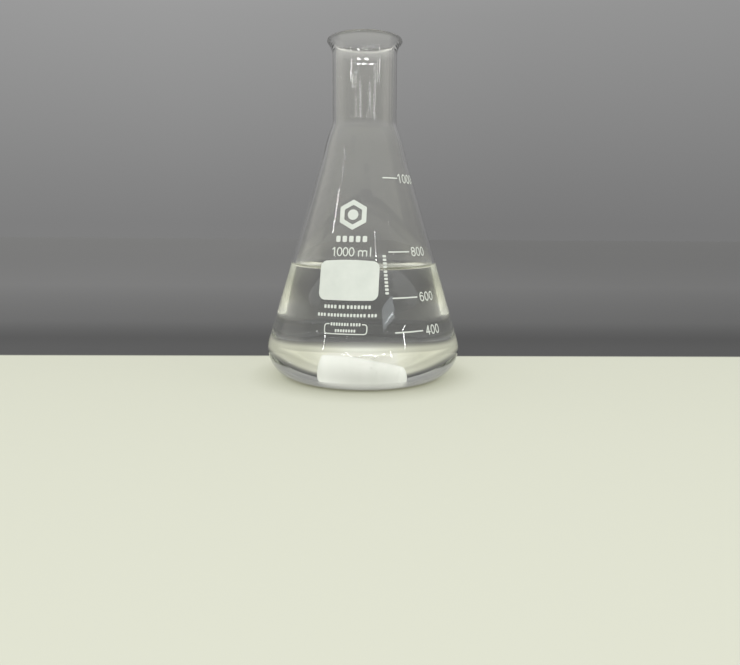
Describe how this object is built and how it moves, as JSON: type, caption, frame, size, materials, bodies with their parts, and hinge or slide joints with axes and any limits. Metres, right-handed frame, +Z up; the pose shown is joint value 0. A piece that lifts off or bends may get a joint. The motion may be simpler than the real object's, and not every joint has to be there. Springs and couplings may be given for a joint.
{
  "type": "erlenmeyer flask",
  "caption": "Conical laboratory flask of clear glass with a narrow neck, flared rim and white enamel volume scale, holding water and a magnetic stirring bar.",
  "frame": {"origin": "on the flask's axis, in the plane of the ring it stands on", "axes": "+Z up along the flask's axis; -Y faces the reader of the scale, +X to the reader's right"},
  "size_m": [0.1308, 0.1308, 0.22],
  "materials": {
    "borosilicate_glass": "polished",
    "white_enamel": "satin",
    "water": "polished",
    "ptfe": "satin",
    "magnet": "satin"
  },
  "bodies": {
    "flask": {"address_bar": "white_enamel", "capacity_mark_1": "white_enamel", "capacity_mark_2": "white_enamel", "capacity_mark_3": "white_enamel", "capacity_mark_4": "white_enamel", "capacity_mark_5": "white_enamel", "capacity_mark_6": "white_enamel", "code_bracket": "white_enamel", "code_number_bar": "white_enamel", "code_title_bar": "white_enamel", "emblem_dot": "white_enamel", "emblem_hexagon": "white_enamel", "flask_body": "borosilicate_glass", "graduation_line_1000": "white_enamel", "graduation_line_400": "white_enamel", "graduation_line_600": "white_enamel", "graduation_line_800": "white_enamel", "note_bar": "white_enamel", "number_1000_digit_1": "white_enamel", "number_1000_digit_2": "white_enamel", "number_1000_digit_3": "white_enamel", "number_1000_digit_4": "white_enamel", "number_400_digit_1": "white_enamel", "number_400_digit_2": "white_enamel", "number_400_digit_3": "white_enamel", "number_600_digit_1": "white_enamel", "number_600_digit_2": "white_enamel", "number_600_digit_3": "white_enamel", "number_800_digit_1": "white_enamel", "number_800_digit_2": "white_enamel", "number_800_digit_3": "white_enamel", "origin_bar": "white_enamel", "title_bar": "white_enamel", "water": "water", "writing_panel": "white_enamel"},
    "stir_bar": {"stir_bar_jacket": "ptfe", "stir_bar_end_plug": "ptfe", "stir_bar_magnet": "magnet"}
  },
  "joints": [
    {"name": "stir_bar_spin", "type": "hinge", "parent": "flask", "child": "stir_bar", "pos_m": [0, -0.007, 0.0069], "axis": [0, 0, 1], "continuous": true}
  ]
}
